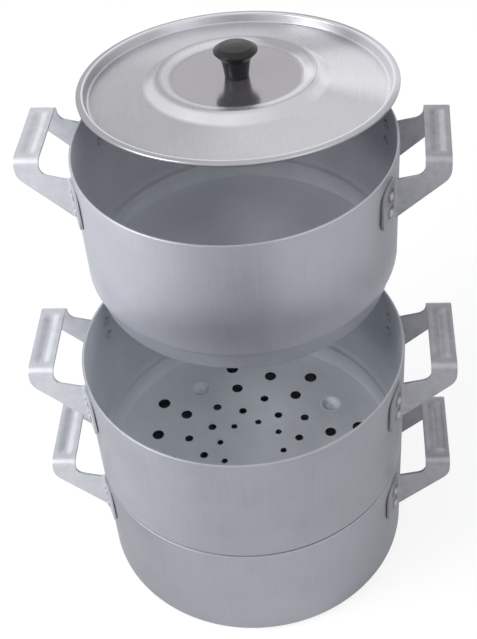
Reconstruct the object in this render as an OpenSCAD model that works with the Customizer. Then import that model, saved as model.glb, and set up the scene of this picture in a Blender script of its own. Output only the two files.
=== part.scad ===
// Stacking steamer pot of pressed aluminium: a base pot, a perforated steamer tier that nests
// in its rim, an upper pot that stands on the tier, set back, and a lid laid across the upper pot.
// Origin: centre of the base pot's underside. +Z up, the handles lie along X, the front is -Y.

/* [Vessels] */
// Outer diameter of every vessel
rim_d = 260; // [220:5:320]
// Thickness of the vessel walls and floors
wall_t = 2; // [1.6:0.1:3]
// Height of the base pot
base_h = 107; // [90:1:160]
// Outer radius of the base pot's bottom corner
base_corner_r = 7; // [5:0.5:14]
// Height of the steamer tier and of the upper pot
tier_h = 133; // [110:1:180]
// Step from a tier's wall in to its nesting collar
collar_inset = 6; // [4:0.5:9]
// Height of a tier's nesting collar under its shoulder
collar_h = 18; // [14:0.5:24]
// Outer radius of the collar's bottom corner
collar_corner_r = 3; // [2.2:0.2:5]
// Bevel on the two edges of each rim
rim_bevel = 0.5; // [0.2:0.1:0.7]

/* [Perforated floor] */
// Radial distance from one ring of steam holes to the next
ring_step = 14.2; // [12:0.1:15]
// Diameter of the widest steam holes, in the outer ring
hole_d = 11; // [8:0.2:12]
// Turn of the hole pattern from the handles' line
pattern_turn = 35.6; // [0:0.4:44]
// Diameter of a foot pressed down from the floor
foot_d = 18; // [14:0.5:20]
// Height of a foot
foot_h = 3.5; // [2:0.1:4.5]

/* [Handles] */
// Length of a grip, over its two bends
grip_l = 77; // [60:1:90]
// Width of the strip across the grip
grip_w = 20; // [16:0.5:26]
// Thickness of the strip
strip_t = 2; // [1.5:0.1:2.6]
// Reach of a grip's outer edge past the wall
grip_reach = 38.5; // [36:0.5:50]
// Height of a grip's top above the rim
grip_rise = 4; // [0:0.5:6]
// Outer radius of the bend from the grip to a leg
bend_r = 4; // [3:0.5:6]
// Height at the wall, from the rim down to the top edge of a leg
leg_top_drop = 12; // [10:1:18]
// Height at the wall, from the rim down to the bottom edge of a leg
leg_bottom_drop = 47; // [42:1:52]
// Height of the grip's outer corner under the rim
leg_corner_drop = 4; // [2:0.5:8]
// Distance from the rim down to the top edge of a tab
tab_top_drop = 8; // [7:0.5:12]
// Width of a leg's tab along the wall
tab_w = 23.5; // [20:0.5:28]
// Width of the groove pressed down along a grip
groove_w = 12; // [8:0.5:14]
// Width of the groove's flat bottom
groove_flat_w = 3; // [2:0.5:5]
// Depth of the groove
groove_h = 1.2; // [0.8:0.1:2]

/* [Rivets] */
// Distance of the rivets from a leg's outer face
rivet_out = 8; // [7:0.5:10]
// Diameter of a rivet's shank
rivet_d = 4.8; // [4:0.1:6]
// Diameter of a rivet's domed head
rivet_head_d = 8; // [7:0.1:9]
// Height of the domed head
rivet_head_h = 2; // [1.5:0.1:3]
// Height of the flattened end inside the vessel
rivet_end_h = 1.2; // [0.8:0.1:1.6]
// Drop from the rim to the upper rivet
rivet_drop = 20; // [18:0.5:22]
// Distance between the two rivets of a tab
rivet_pitch = 16; // [13:0.5:18]

/* [Placing] */
// Distance that the upper pot stands back from the tier's axis
upper_back = 92; // [60:1:100]
// Distance that the upper pot stands to the left
upper_left = 3; // [0:0.5:6]
// Turn of the upper pot about its own axis
upper_turn = -2; // [-6:0.5:6]
// Distance that the lid lies back from the upper pot's axis
lid_back = 72.5; // [50:0.5:80]
// Tilt of the lid, its front edge up
lid_tilt = 6; // [4:0.2:8]

/* [Lid] */
// Outer diameter of the lid
lid_d = 267; // [264:1:272]
// Thickness of the lid's sheet
lid_t = 1; // [0.8:0.1:1.6]
// Clearance between the lid's well and the inside of a rim
well_gap = 2; // [1:0.5:4]
// Depth of the well inside the lid's rim
well_h = 7.5; // [6:0.5:12]
// Height of the crest above the lid's rim
crest_h = 6; // [4:0.2:8]
// Depth of the round recess inside the crest
recess_h = 2.5; // [1.5:0.1:4]
// Outer radius of the recess
recess_r = 56; // [46:1:60]
// Width of the crest's inner slope, from the recess up to its top
crest_in_w = 11; // [8:0.5:15]
// Width of the crest's outer slope
crest_out_w = 10; // [7:0.5:16]
// Drop of the rolled outer edge
edge_h = 3.2; // [2.4:0.2:5]

/* [Knob] */
// Height of the knob
knob_h = 29; // [26:1:40]
// Diameter of the knob's cap
knob_d = 36; // [30:1:42]
// Diameter of the neck where it meets the lid
neck_d = 19.8; // [16:0.2:24]
// Diameter of the neck under the cap
neck_top_d = 24.8; // [20:0.2:27]
// Outer diameter of the threaded bush in the knob
bush_d = 8; // [7:0.5:10]
// Length of the threaded bush
bush_l = 12; // [9:0.5:15]
// Diameter of the knob screw
screw_d = 5; // [4:0.5:6]
// Diameter of the washer under the screw's head
washer_d = 14; // [12:0.5:18]
// Thickness of the washer
washer_t = 1; // [0.8:0.1:1.5]

/* [Hidden] */

aluminium = [0.78, 0.79, 0.81];
handle_metal = [0.82, 0.83, 0.85];
lid_metal = [0.86, 0.86, 0.86];
rivet_metal = [0.7, 0.71, 0.72];
knob_black = [0.07, 0.07, 0.08];
brass = [0.75, 0.62, 0.32];
steel = [0.6, 0.6, 0.62];

// Smoothness of round shapes, and the number of steps in a bend
fine = 96;
bend_steps = 6;
// Turn of a fillet that meets a slanting line, a little less than a quarter
fillet_turn = 75;
// Overrun of every cut past the face that it opens
overrun = 1;
// Clearance between two loose pieces at rest, and between fixed pieces
rest_gap = 0.3;
fit_gap = 0.08;

rim_r = rim_d / 2;
inner_r = rim_r - wall_t;
collar_r = rim_r - collar_inset;
shoulder_z = collar_h + collar_inset;
shoulder_in_r = collar_inset - wall_t;

// The collar's round shoulder seats on the inner edge of the rim below
seat_r = inner_r + rim_bevel - collar_r;
seat_z = shoulder_z - sqrt(pow(collar_inset + rest_gap, 2) - seat_r * seat_r);
tier_z = base_h - seat_z;
tier_rim_z = tier_z + tier_h;
upper_z = tier_rim_z + rest_gap;
upper_rim_z = upper_z + tier_h;

// Rings of steam holes: each ring's radius in ring steps, hole size and turn of half a pitch
ring_shares = [2, 3, 4, 5, 6, 6.8];
hole_shares = [0.5, 0.64, 0.66, 0.88, 0.95, 1];
holes_per_ring = 8;
pitch_turn = 360 / holes_per_ring;
foot_ring = 4;
foot_flat_share = 0.3;
foot_mid_share = 0.7;

// Handle outline
leg_y = grip_l / 2 - strip_t;
grip_out_x = rim_r + grip_reach;
grip_in_x = grip_out_x - grip_w;
leg_corner_r = grip_w * 0.3;
inner_corner_r = grip_w * 0.3;
inner_corner_drop = leg_top_drop / 2;
leg_slope = atan2(leg_bottom_drop - leg_corner_drop, grip_reach);
leg_in_x = sqrt(pow(inner_r, 2) - pow(grip_l / 2, 2));
groove_l_share = 0.68;
rivet_y = grip_l / 2 + rivet_out;
rivet_turn = asin(rivet_y / rim_r);
tab_r = rim_r + fit_gap + strip_t;

// Lid outline, from the lid's rim plane
lid_r = lid_d / 2;
crest_r = recess_r + crest_in_w;
crest_outer_r = crest_r + crest_out_w;
well_r = inner_r - well_gap;
rim_in_r = well_r + lid_t + rim_bevel;
well_floor_w = rim_in_r - well_r + lid_t;
plate_rise_share = 0.87;

// A sector of arc points about a centre
function arc(cx, cy, r, a0, a1, n = bend_steps) =
    [for (i = [0:n]) [cx + r * cos(a0 + (a1 - a0) * i / n), cy + r * sin(a0 + (a1 - a0) * i / n)]];

// Height of the lid's underside at each radius, over the lid's rim plane
under_table = [
    [0, crest_h - recess_h - lid_t],
    [recess_r, crest_h - recess_h - lid_t],
    [crest_r, crest_h - lid_t],
    [crest_outer_r, -well_h * (1 - plate_rise_share) - lid_t],
    [well_r - well_floor_w, -well_h - lid_t],
    [well_r, -well_h - lid_t],
    [rim_in_r, -lid_t],
    [lid_r - lid_t - rim_bevel, -lid_t],
    [lid_r - lid_t, -edge_h]
];
function under_z(r) = r > lid_r + rest_gap ? lid_d : lookup(r, under_table);

// Height that the tilted lid needs over one point of the rim on which it lies
function need(r, a, h) =
    let (
        y = r * cos(a) - lid_back,
        local_r = norm([r * sin(a), y * cos(lid_tilt) + h * sin(lid_tilt)])
    )
    (y * sin(lid_tilt) - under_z(local_r) + rest_gap) / cos(lid_tilt);
function lid_lift(h) = max([for (a = [0:2:180], r = [inner_r, rim_r]) need(r, a, h)]);
lid_z = upper_rim_z + lid_lift(lid_lift(well_h));

knob_seat_z = crest_h - recess_h;
neck_h = knob_h * 0.6;
cap_edge_h = knob_h * 0.86;
screw_reach = bush_l * 0.7;
screw_head_h = screw_d * 0.55;
screw_head_d = screw_d * 1.8;

module revolve(points) {
    rotate_extrude($fn = fine) polygon(points);
}

// Wall and floor of the base pot: a straight can with a rounded bottom corner
module base_shell() {
    in_r = base_corner_r - wall_t;
    revolve(concat(
        [[0, 0]],
        arc(rim_r - base_corner_r, base_corner_r, base_corner_r, -90, 0),
        [[rim_r, base_h - rim_bevel], [rim_r - rim_bevel, base_h]],
        [[inner_r + rim_bevel, base_h], [inner_r, base_h - rim_bevel]],
        arc(inner_r - in_r, base_corner_r, in_r, 0, -90),
        [[0, wall_t]]
    ));
}

// Wall, round shoulder, collar and floor of a tier
module tier_shell() {
    in_r = max(collar_corner_r - wall_t, rim_bevel);
    in_collar_r = collar_r - wall_t;
    revolve(concat(
        [[0, 0]],
        arc(collar_r - collar_corner_r, collar_corner_r, collar_corner_r, -90, 0),
        [[collar_r, collar_h - rim_bevel], [collar_r + rim_bevel, collar_h]],
        arc(collar_r, shoulder_z, collar_inset, -fillet_turn, 0),
        [[rim_r, tier_h - rim_bevel], [rim_r - rim_bevel, tier_h]],
        [[inner_r + rim_bevel, tier_h], [inner_r, tier_h - rim_bevel]],
        arc(collar_r, shoulder_z, shoulder_in_r, 0, -90),
        [[in_collar_r + rim_bevel, collar_h + wall_t], [in_collar_r, collar_h + wall_t - rim_bevel]],
        arc(in_collar_r - in_r, wall_t + in_r, in_r, 0, -90),
        [[0, wall_t]]
    ));
}

// Places its children on the four rivets of a handle on the +X side, along each rivet's axis
module at_rivets(rim_z) {
    for (side = [-1, 1], row = [0, 1]) {
        translate([0, 0, rim_z - rivet_drop - row * rivet_pitch])
            rotate([0, 0, side * rivet_turn])
                rotate([0, 90, 0])
                    children();
    }
}

module rivet_bores(rim_z) {
    for (turn = [0, 180]) {
        rotate([0, 0, turn])
            at_rivets(rim_z)
                translate([0, 0, inner_r - wall_t])
                    cylinder(h = wall_t * 3 + strip_t, r = rivet_d / 2 + fit_gap, $fn = fine);
    }
}

// One foot pressed down from the perforated floor, hollow above, about the floor's underside
module foot() {
    out_r = foot_d / 2;
    flat_r = out_r * foot_flat_share;
    mid_r = out_r * foot_mid_share;
    half_t = wall_t / 2;
    revolve([
        [0, -foot_h], [flat_r, -foot_h], [mid_r, -foot_h * foot_mid_share],
        [out_r - half_t / 2, 0], [out_r, wall_t], [out_r - half_t, wall_t],
        [mid_r - half_t, wall_t - foot_h * foot_mid_share], [flat_r, wall_t - foot_h],
        [0, wall_t - foot_h]
    ]);
}

// Turn of hole number i in ring k; every second ring is turned by half a pitch
function hole_turn(k, i) = pattern_turn + (i + (k % 2) / 2) * pitch_turn;
function is_foot(k, i) = k == foot_ring && i % 2 == 0;

module steam_holes() {
    for (k = [0:len(ring_shares) - 1], i = [0:holes_per_ring - 1]) {
        rotate([0, 0, hole_turn(k, i)])
            translate([ring_step * ring_shares[k], 0, -overrun])
                cylinder(
                    h = wall_t + 2 * overrun,
                    r = is_foot(k, i) ? foot_d / 2 - wall_t / 4 : hole_d * hole_shares[k] / 2,
                    $fn = 48
                );
    }
}

module floor_feet() {
    for (i = [0:2:holes_per_ring - 1]) {
        rotate([0, 0, hole_turn(foot_ring, i)])
            translate([ring_step * ring_shares[foot_ring], 0, 0])
                foot();
    }
}

// The side view of the strip, in X and height over the rim: grip end, then leg down to the wall
module leg_outline() {
    corner_turn = 90 - leg_slope;
    corner_z = leg_corner_r * tan(corner_turn / 2) - leg_corner_drop;
    polygon(concat(
        [[grip_in_x, grip_rise], [grip_out_x, grip_rise]],
        arc(grip_out_x - leg_corner_r, corner_z, leg_corner_r, 0, -corner_turn),
        [[rim_r, -leg_bottom_drop], [leg_in_x, -leg_bottom_drop]],
        [[leg_in_x, -leg_top_drop], [rim_r, -leg_top_drop]],
        arc(grip_in_x - inner_corner_r, inner_corner_r - inner_corner_drop, inner_corner_r, -fillet_turn, 0)
    ));
}

// The front view of the bent strip, in Y and height over the rim: grip, two bends, two legs
module bent_strip() {
    half = grip_l / 2;
    depth = leg_bottom_drop + grip_rise + overrun;
    in_r = bend_r - strip_t;
    difference() {
        union() {
            translate([-half, -depth + grip_rise]) square([grip_l, depth - bend_r]);
            translate([-half + bend_r, grip_rise - bend_r]) square([grip_l - 2 * bend_r, bend_r]);
            for (side = [-1, 1]) {
                translate([side * (half - bend_r), grip_rise - bend_r]) circle(r = bend_r, $fn = fine);
            }
        }
        translate([-half + strip_t, -depth + grip_rise - overrun])
            square([grip_l - 2 * strip_t, depth - bend_r + overrun]);
        translate([-half + bend_r, grip_rise - bend_r - overrun])
            square([grip_l - 2 * bend_r, bend_r - strip_t + overrun]);
        for (side = [-1, 1]) {
            translate([side * (half - bend_r), grip_rise - bend_r]) circle(r = in_r, $fn = fine);
        }
    }
}

// Outline of one tab, in Y and height over the rim
module tab_outline() {
    y0 = leg_y;
    y1 = grip_l / 2 + tab_w;
    bottom_drop = leg_bottom_drop + strip_t / 2;
    top_r = tab_w * 0.6;
    low_r = tab_w * 0.25;
    polygon(concat(
        [[y0, -bottom_drop], [y0, -tab_top_drop]],
        arc(y1 - top_r, -tab_top_drop - top_r, top_r, 90, 0),
        arc(y1 - low_r, low_r - bottom_drop, low_r, 0, -90)
    ));
}

// The groove's form, from its flat bottom up to top_z over the sheet that it is pressed into
module groove_form(top_z) {
    groove_l = grip_l * groove_l_share;
    flat_half = [groove_flat_w / 2, (groove_l - groove_w + groove_flat_w) / 2];
    top_half = flat_half + [1, 1] * (groove_w - groove_flat_w) / 2 * (groove_h + top_z) / groove_h;
    corners = [[-1, -1], [1, -1], [1, 1], [-1, 1]];
    polyhedron(
        points = concat(
            [for (c = corners) [c[0] * flat_half[0], c[1] * flat_half[1], -groove_h]],
            [for (c = corners) [c[0] * top_half[0], c[1] * top_half[1], top_z]]
        ),
        faces = [[0, 1, 2, 3], [7, 6, 5, 4], [4, 5, 1, 0], [5, 6, 2, 1], [6, 7, 3, 2], [7, 4, 0, 3]]
    );
}

// One handle on the +X side of a vessel whose rim is at rim_z
module handle(rim_z) {
    difference() {
        translate([0, 0, rim_z]) {
            intersection() {
                rotate([90, 0, 90]) linear_extrude(height = grip_out_x + overrun) bent_strip();
                translate([0, grip_l, 0])
                    rotate([90, 0, 0])
                        linear_extrude(height = 2 * grip_l) leg_outline();
            }
            translate([(grip_in_x + grip_out_x) / 2, 0, grip_rise - strip_t]) groove_form(0);
            intersection() {
                difference() {
                    translate([0, 0, -leg_bottom_drop - 2 * strip_t])
                        cylinder(h = leg_bottom_drop, r = tab_r, $fn = fine);
                    translate([0, 0, -leg_bottom_drop - 3 * strip_t])
                        cylinder(h = leg_bottom_drop + 2 * strip_t, r = rim_r, $fn = fine);
                }
                union() {
                    for (side = [0, 1]) {
                        mirror([0, side, 0])
                            rotate([90, 0, 90])
                                linear_extrude(height = grip_out_x) tab_outline();
                    }
                }
            }
        }
        translate([(grip_in_x + grip_out_x) / 2, 0, rim_z + grip_rise]) groove_form(overrun);
        translate([0, 0, rim_z - leg_bottom_drop - 3 * strip_t])
            cylinder(h = leg_bottom_drop + 4 * strip_t, r = rim_r + fit_gap, $fn = fine);
        rivet_bores(rim_z);
    }
}

// The four rivets of a handle on the +X side: domed head outside, flattened end inside
module rivets(rim_z) {
    head_r = rivet_head_d / 2;
    ball_r = (head_r * head_r + rivet_head_h * rivet_head_h) / (2 * rivet_head_h);
    sag = head_r * head_r / rim_r;
    at_rivets(rim_z) {
        translate([0, 0, inner_r - sag]) cylinder(h = tab_r - inner_r + 2 * sag, r = rivet_d / 2, $fn = fine);
        translate([0, 0, inner_r - sag - rivet_end_h])
            cylinder(h = rivet_end_h, r1 = head_r * 0.8, r2 = head_r, $fn = fine);
        translate([0, 0, tab_r + fit_gap])
            intersection() {
                translate([0, 0, rivet_head_h - ball_r]) sphere(r = ball_r, $fn = fine);
                cylinder(h = rivet_head_h + overrun, r = head_r, $fn = fine);
            }
    }
}

// Turns a piece made on the +X side over to the -X side
module on_left() {
    rotate([0, 0, 180]) children();
}

module upper_place() {
    translate([-upper_left, upper_back, 0]) rotate([0, 0, upper_turn]) children();
}

module lid_place() {
    translate([-upper_left, upper_back + lid_back, lid_z]) rotate([-lid_tilt, 0, 0]) children();
}

module base_pot() {
    color(aluminium)
        difference() {
            base_shell();
            rivet_bores(base_h);
        }
}

module steamer_tier() {
    color(aluminium) {
        difference() {
            translate([0, 0, tier_z]) tier_shell();
            translate([0, 0, tier_z]) steam_holes();
            rivet_bores(tier_rim_z);
        }
        translate([0, 0, tier_z]) floor_feet();
    }
}

module upper_pot() {
    color(aluminium)
        upper_place()
            difference() {
                translate([0, 0, upper_z]) tier_shell();
                rivet_bores(upper_rim_z);
            }
}

module base_handle_left() {
    color(handle_metal) on_left() handle(base_h);
}

module base_handle_right() {
    color(handle_metal) handle(base_h);
}

module base_rivets_left() {
    color(rivet_metal) on_left() rivets(base_h);
}

module base_rivets_right() {
    color(rivet_metal) rivets(base_h);
}

module tier_handle_left() {
    color(handle_metal) on_left() handle(tier_rim_z);
}

module tier_handle_right() {
    color(handle_metal) handle(tier_rim_z);
}

module tier_rivets_left() {
    color(rivet_metal) on_left() rivets(tier_rim_z);
}

module tier_rivets_right() {
    color(rivet_metal) rivets(tier_rim_z);
}

module upper_handle_left() {
    color(handle_metal) upper_place() on_left() handle(upper_rim_z);
}

module upper_handle_right() {
    color(handle_metal) upper_place() handle(upper_rim_z);
}

module upper_rivets_left() {
    color(rivet_metal) upper_place() on_left() rivets(upper_rim_z);
}

module upper_rivets_right() {
    color(rivet_metal) upper_place() rivets(upper_rim_z);
}

// Pressed lid: rolled edge, flat rim, well, rising plate, crest and a round recess for the knob
module lid() {
    plate_low = well_r - well_floor_w;
    plate_high_z = -well_h * (1 - plate_rise_share);
    mid_share = 0.5;
    bow = well_h * 0.08;
    color(lid_metal)
        lid_place()
            difference() {
                revolve([
                    [0, crest_h - recess_h],
                    [recess_r, crest_h - recess_h],
                    [recess_r + lid_t, crest_h - recess_h * 0.4],
                    [crest_r - lid_t, crest_h],
                    [crest_r + lid_t, crest_h],
                    [crest_r + lid_t * 3, crest_h * 0.86],
                    [crest_outer_r, plate_high_z],
                    [(crest_outer_r + plate_low) * mid_share, (plate_high_z - well_h) * mid_share + bow],
                    [plate_low, -well_h],
                    [well_r - lid_t / 2, -well_h],
                    [rim_in_r - lid_t / 2, 0],
                    [lid_r - rim_bevel * 2, 0],
                    [lid_r, -rim_bevel * 2],
                    [lid_r, -edge_h],
                    [lid_r - lid_t, -edge_h],
                    [lid_r - lid_t, -lid_t - rim_bevel],
                    [lid_r - lid_t - rim_bevel, -lid_t],
                    [rim_in_r + rim_bevel, -lid_t],
                    [well_r + rim_bevel, -well_h - lid_t / 2],
                    [well_r - rim_bevel, -well_h - lid_t],
                    [plate_low, -well_h - lid_t],
                    [(crest_outer_r + plate_low) * mid_share, (plate_high_z - well_h) * mid_share + bow - lid_t],
                    [crest_outer_r, plate_high_z - lid_t],
                    [crest_r + lid_t * 2, crest_h * 0.86 - lid_t],
                    [crest_r + lid_t / 2, crest_h - lid_t],
                    [crest_r - lid_t, crest_h - lid_t],
                    [recess_r + lid_t * 1.5, crest_h - recess_h * 0.4 - lid_t],
                    [recess_r, crest_h - recess_h - lid_t],
                    [0, crest_h - recess_h - lid_t]
                ]);
                translate([0, 0, knob_seat_z - lid_t - overrun])
                    cylinder(h = lid_t + 2 * overrun, r = screw_d / 2 + rest_gap, $fn = fine);
            }
}

// Black moulded knob, blind bored from below for the bush
module lid_knob() {
    neck_r = neck_d / 2;
    neck_top_r = neck_top_d / 2;
    cap_r = knob_d / 2;
    color(knob_black)
        lid_place()
            translate([0, 0, knob_seat_z + fit_gap])
                difference() {
                    revolve(concat(
                        [[0, 0], [neck_r - rim_bevel, 0], [neck_r, rim_bevel], [neck_top_r, neck_h]],
                        [[neck_top_r + rim_bevel, neck_h + rim_bevel]],
                        [[cap_r - rim_bevel, cap_edge_h - rim_bevel], [cap_r, cap_edge_h]],
                        [[cap_r * 0.75, knob_h * 0.96], [cap_r * 0.68, knob_h * 0.975]],
                        [[cap_r * 0.3, knob_h], [0, knob_h]]
                    ));
                    translate([0, 0, -overrun])
                        cylinder(h = bush_l + rest_gap + overrun, r = bush_d / 2 + fit_gap, $fn = fine);
                }
}

// Threaded bush moulded into the knob
module knob_bush() {
    color(brass)
        lid_place()
            translate([0, 0, knob_seat_z + fit_gap])
                difference() {
                    cylinder(h = bush_l, r = bush_d / 2, $fn = fine);
                    translate([0, 0, -overrun])
                        cylinder(h = bush_l + 2 * overrun, r = screw_d / 2 + fit_gap, $fn = fine);
                }
}

// Pan-head screw from under the lid
module knob_screw() {
    head_z = knob_seat_z - lid_t - fit_gap - washer_t - fit_gap;
    color(steel)
        lid_place() {
            translate([0, 0, head_z])
                cylinder(h = knob_seat_z - head_z + screw_reach, r = screw_d / 2, $fn = fine);
            translate([0, 0, head_z - screw_head_h])
                cylinder(h = screw_head_h, r1 = screw_head_d * 0.4, r2 = screw_head_d / 2, $fn = fine);
        }
}

module knob_washer() {
    color(steel)
        lid_place()
            translate([0, 0, knob_seat_z - lid_t - fit_gap - washer_t])
                difference() {
                    cylinder(h = washer_t, r = washer_d / 2, $fn = fine);
                    translate([0, 0, -overrun])
                        cylinder(h = washer_t + 2 * overrun, r = screw_d / 2 + rest_gap, $fn = fine);
                }
}

base_pot();
base_handle_left();
base_handle_right();
base_rivets_left();
base_rivets_right();
steamer_tier();
tier_handle_left();
tier_handle_right();
tier_rivets_left();
tier_rivets_right();
upper_pot();
upper_handle_left();
upper_handle_right();
upper_rivets_left();
upper_rivets_right();
lid();
lid_knob();
knob_bush();
knob_screw();
knob_washer();
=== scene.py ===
"""Looks of a stacking steamer pot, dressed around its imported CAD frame.

Three pressed vessels, their strap handles and rivets, and a lid with a turned knob are modelled as a
metal worker would make them: sheet is turned to a profile, straps are folded, bores are cut.
"""

import logging
import math
from dataclasses import dataclass
from enum import Enum
from typing import Any, Iterable, Sequence

import bmesh
import bpy
from mathutils import Matrix, Vector


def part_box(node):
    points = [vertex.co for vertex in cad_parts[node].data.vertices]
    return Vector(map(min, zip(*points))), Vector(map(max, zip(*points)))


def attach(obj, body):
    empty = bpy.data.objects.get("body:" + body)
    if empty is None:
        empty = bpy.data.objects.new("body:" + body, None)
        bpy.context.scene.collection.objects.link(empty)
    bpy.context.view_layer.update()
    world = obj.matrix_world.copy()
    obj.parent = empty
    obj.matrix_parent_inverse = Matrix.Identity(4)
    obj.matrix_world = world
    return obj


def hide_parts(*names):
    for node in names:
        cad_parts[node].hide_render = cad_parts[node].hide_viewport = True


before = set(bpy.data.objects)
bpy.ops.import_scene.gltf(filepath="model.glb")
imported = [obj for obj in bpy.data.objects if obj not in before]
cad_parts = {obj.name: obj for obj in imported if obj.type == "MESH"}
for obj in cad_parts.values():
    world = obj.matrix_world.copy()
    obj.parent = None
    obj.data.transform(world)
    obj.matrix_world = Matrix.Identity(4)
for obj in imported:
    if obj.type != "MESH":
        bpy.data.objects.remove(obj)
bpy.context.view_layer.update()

log = logging.getLogger("steamer")

Point = tuple[float, float]
Spot = tuple[float, float, float]
Row = tuple[Vector, Vector]
Piece = bpy.types.Object
Finish = bpy.types.Material

MM = 0.001
SHEET = 2.0 * MM
CUT_L = 4.0 * SHEET
WELD = 1e-6
NEAR_ZERO = 1e-10
SIDES = ("left", "right")
ORIGIN = Vector((0.0, 0.0, 0.0)).freeze()

# Outer radius of the walls, and how far down and aside the rivets sit on them, in millimetres
WALL_R = 130.0
RIVET_DROPS = (20.0, 36.0)
RIVET_LEAN = 46.5 / WALL_R


# Outlines


@dataclass(frozen=True)
class Corner:
    """One corner of a half section, in millimetres, with the radius that it is pressed to."""

    r: float
    z: float
    fillet: float = 0.0


def arc_points(centre: Point, radius: float, start: float, turn: float, steps: int) -> list[Point]:
    """Points along an arc.

    Args:
        centre: The arc's centre.
        radius: Its radius.
        start: The angle of its first point, in degrees.
        turn: How far it turns, in degrees.
        steps: How many chords it has.

    Returns:
        steps + 1 points.
    """
    angles = (math.radians(start + turn * i / steps) for i in range(steps + 1))
    return [(centre[0] + radius * math.cos(a), centre[1] + radius * math.sin(a)) for a in angles]


def filleted(corners: Sequence[Corner], steps: int = 6) -> list[Point]:
    """Round the corners of a line.

    Args:
        corners: The line's ends and corners.
        steps: Chords to a rounded corner.

    Returns:
        The line's points, in metres.
    """
    points: list[Point] = [(corners[0].r * MM, corners[0].z * MM)]
    for before, here, after in zip(corners, corners[1:], corners[2:]):
        at = Vector((here.r, here.z))
        back = (Vector((before.r, before.z)) - at).normalized()
        on = (Vector((after.r, after.z)) - at).normalized()
        opening = back.angle(on)
        if here.fillet <= 0.0 or opening > math.pi - 1e-3:
            points.append((here.r * MM, here.z * MM))
            continue
        reach = here.fillet / math.tan(opening / 2)
        centre = at + (back + on).normalized() * (here.fillet / math.sin(opening / 2))
        first, last = at + back * reach - centre, at + on * reach - centre
        start = math.degrees(math.atan2(first.y, first.x))
        turn = math.degrees(math.atan2(first.x * last.y - first.y * last.x, first.dot(last)))
        for x, z in arc_points((centre.x, centre.y), here.fillet, start, turn, steps):
            points.append((x * MM, z * MM))
    points.append((corners[-1].r * MM, corners[-1].z * MM))
    return points


def sheet_section(midline: Sequence[Point], thickness: float) -> list[Point]:
    """Give a sheet's middle line its thickness, with a rounded free edge.

    Args:
        midline: The line from the axis out to the free edge, in metres.
        thickness: The sheet's thickness, in metres.

    Returns:
        The section from the axis, along one face, round the edge and back to the axis.
    """
    half = thickness / 2
    normals: list[Vector] = []
    for i in range(len(midline)):
        a = Vector(midline[max(i - 1, 0)])
        b = Vector(midline[min(i + 1, len(midline) - 1)])
        along = (b - a).normalized()
        normals.append(Vector((along.y, -along.x)))
    outer = [(p[0] + n.x * half, p[1] + n.y * half) for p, n in zip(midline, normals)]
    inner = [(p[0] - n.x * half, p[1] - n.y * half) for p, n in zip(midline, normals)]
    end, normal = midline[-1], normals[-1]
    start = math.degrees(math.atan2(normal.y, normal.x))
    cap = arc_points(end, half, start, 180.0, 6)[1:-1]
    section = outer + cap + inner[::-1]
    return [(max(x, 0.0), z) for x, z in section]


# Modelling bench


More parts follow.
